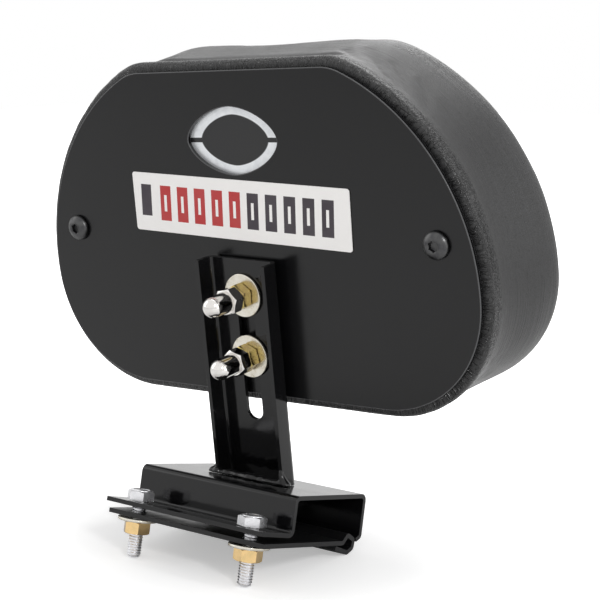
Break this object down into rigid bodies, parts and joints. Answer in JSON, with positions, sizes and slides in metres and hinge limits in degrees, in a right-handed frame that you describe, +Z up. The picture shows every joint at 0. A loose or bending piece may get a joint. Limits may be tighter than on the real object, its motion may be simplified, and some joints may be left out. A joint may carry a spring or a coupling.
{
  "type": "scooter backrest",
  "caption": "Clamp-on scooter backrest: oval padded back on a steel plate, bolted at a set height to a slotted upright welded to a rack clamp.",
  "frame": {"origin": "bottom centre of the part's box, level with its bolt tips and the underside of the plate's curl", "axes": "+X to the side, along the pad's length; -Y to the rear, where the bolts show; +Y to the padded front; +Z up"},
  "size_m": [0.3098, 0.14, 0.2758],
  "materials": {
    "black_paint": "gloss black paint",
    "plate_paint": "satin black paint",
    "zinc": "bright zinc plate",
    "yellow_zinc": "yellow zinc plate",
    "chrome": "polished chrome",
    "black_oxide": "black oxide",
    "silver_sheet": "silver film",
    "label_film": "printed film",
    "leatherette": "black leatherette",
    "foam": "open foam",
    "board": "plywood"
  },
  "bodies": {
    "frame": {"clamp_channel": "black_paint", "upright_channel": "black_paint", "foot_weld": "black_paint", "clamp_bolt_left": "zinc", "clamp_bolt_right": "zinc"},
    "jaw": {"clamp_plate": "black_paint", "clamp_washer_left": "yellow_zinc", "clamp_washer_right": "yellow_zinc", "clamp_nut_left": "yellow_zinc", "clamp_nut_right": "yellow_zinc"},
    "pad": {"pad_cover": "leatherette", "foam_core": "foam", "pad_board": "board", "back_plate": "plate_paint", "emblem_backing": "silver_sheet", "label": "label_film", "slot_bolt_upper": "zinc", "slot_bolt_lower": "zinc", "slot_spacer_upper": "zinc", "slot_spacer_lower": "zinc", "slot_washer_upper": "yellow_zinc", "slot_washer_lower": "yellow_zinc", "slot_nut_upper": "yellow_zinc", "slot_nut_lower": "yellow_zinc", "cap_nut_upper": "chrome", "cap_nut_lower": "chrome", "button_screw_left": "black_oxide", "button_screw_right": "black_oxide", "tee_nut_left": "zinc", "tee_nut_right": "zinc"}
  },
  "joints": [
    {"name": "pad_height", "type": "slide", "parent": "frame", "child": "pad", "axis": [0, -0.1157, 0.9933], "range_m": [-0.031, 0.004]},
    {"name": "clamp_jaw", "type": "slide", "parent": "frame", "child": "jaw", "axis": [0, -0.2266, -0.974], "range_m": [-0.002, 0.011]}
  ]
}
